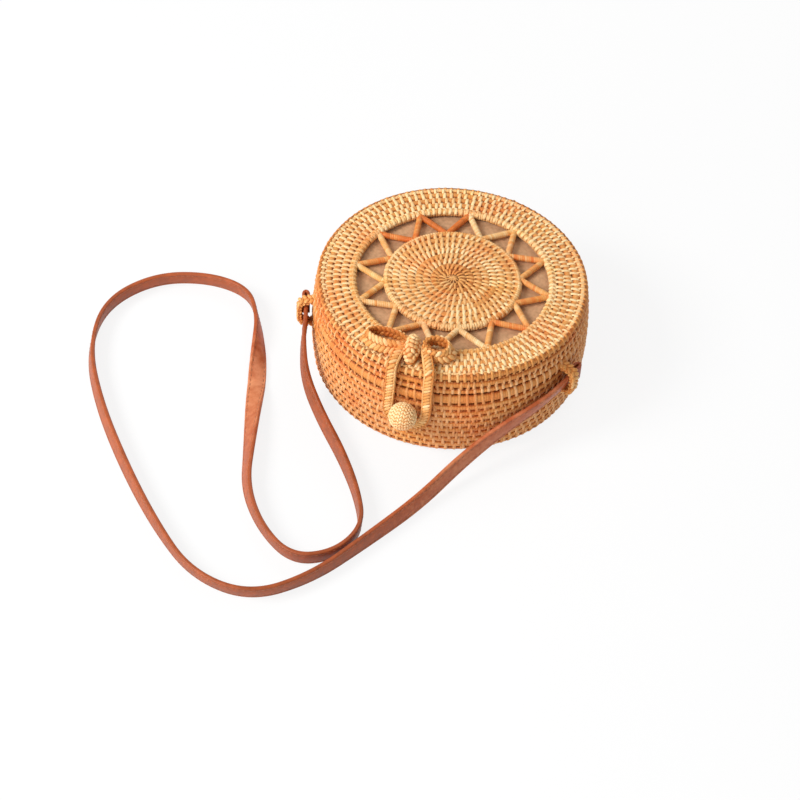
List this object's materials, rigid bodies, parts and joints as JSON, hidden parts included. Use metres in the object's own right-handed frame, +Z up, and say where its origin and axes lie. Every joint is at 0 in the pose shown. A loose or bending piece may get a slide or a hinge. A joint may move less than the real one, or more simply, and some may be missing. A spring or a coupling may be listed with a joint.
{
  "type": "round woven shoulder bag",
  "caption": "Round coiled-grass shoulder bag with an openwork hinged lid, bow, ball-and-loop clasp, cloth lining and a long leather strap.",
  "frame": {"origin": "centre of the flat underside of the base", "axes": "+Z up along the bag's axis, -Y towards the clasp, +Y towards the hinge, +X to the right of someone facing the clasp"},
  "size_m": [0.3549, 0.3727, 0.0894],
  "materials": {
    "coiled_wall": "smoked coiled grass, satin",
    "coiled_lid": "pale coiled grass, satin",
    "wrapped_cane": "wrapped cane, satin",
    "plaited_band": "plaited grass band, satin",
    "woven_ball": "pale woven ball, satin",
    "lining_cloth": "taupe twill cloth",
    "strap_leather": "reddish brown leather with edge stitching"
  },
  "bodies": {
    "base": {"base_floor": "coiled_wall", "base_wall": "coiled_wall", "base_rim_coil": "coiled_wall", "base_lining_floor": "lining_cloth", "base_lining_wall": "lining_cloth", "ball_button": "woven_ball", "ball_stem": "plaited_band", "ball_knot": "plaited_band", "side_loop_left": "plaited_band", "side_loop_right": "plaited_band", "hinge_tie_left": "plaited_band", "hinge_tie_right": "plaited_band", "shoulder_strap": "strap_leather", "strap_fold_left": "strap_leather", "strap_fold_right": "strap_leather"},
    "lid": {"lid_wall": "coiled_wall", "lid_edge_coil": "coiled_lid", "lid_top_ring": "coiled_lid", "lid_disc": "coiled_lid", "lid_spokes": "wrapped_cane", "lid_lining_panel": "lining_cloth", "lid_lining_wall": "lining_cloth", "bow_loop_left": "plaited_band", "bow_loop_right": "plaited_band", "bow_knot": "plaited_band", "bow_tail_left": "plaited_band", "bow_tail_right": "plaited_band"},
    "clasp": {"clasp_loop": "plaited_band"}
  },
  "joints": [
    {"name": "lid_hinge", "type": "hinge", "parent": "base", "child": "lid", "pos_m": [0, 0.09948, 0.0598], "axis": [-1, 0, 0], "range_deg": [0, 105]},
    {"name": "clasp_swing", "type": "hinge", "parent": "lid", "child": "clasp", "pos_m": [0, -0.10004, 0.0736], "axis": [-1, 0, 0], "range_deg": [0, 90]}
  ]
}
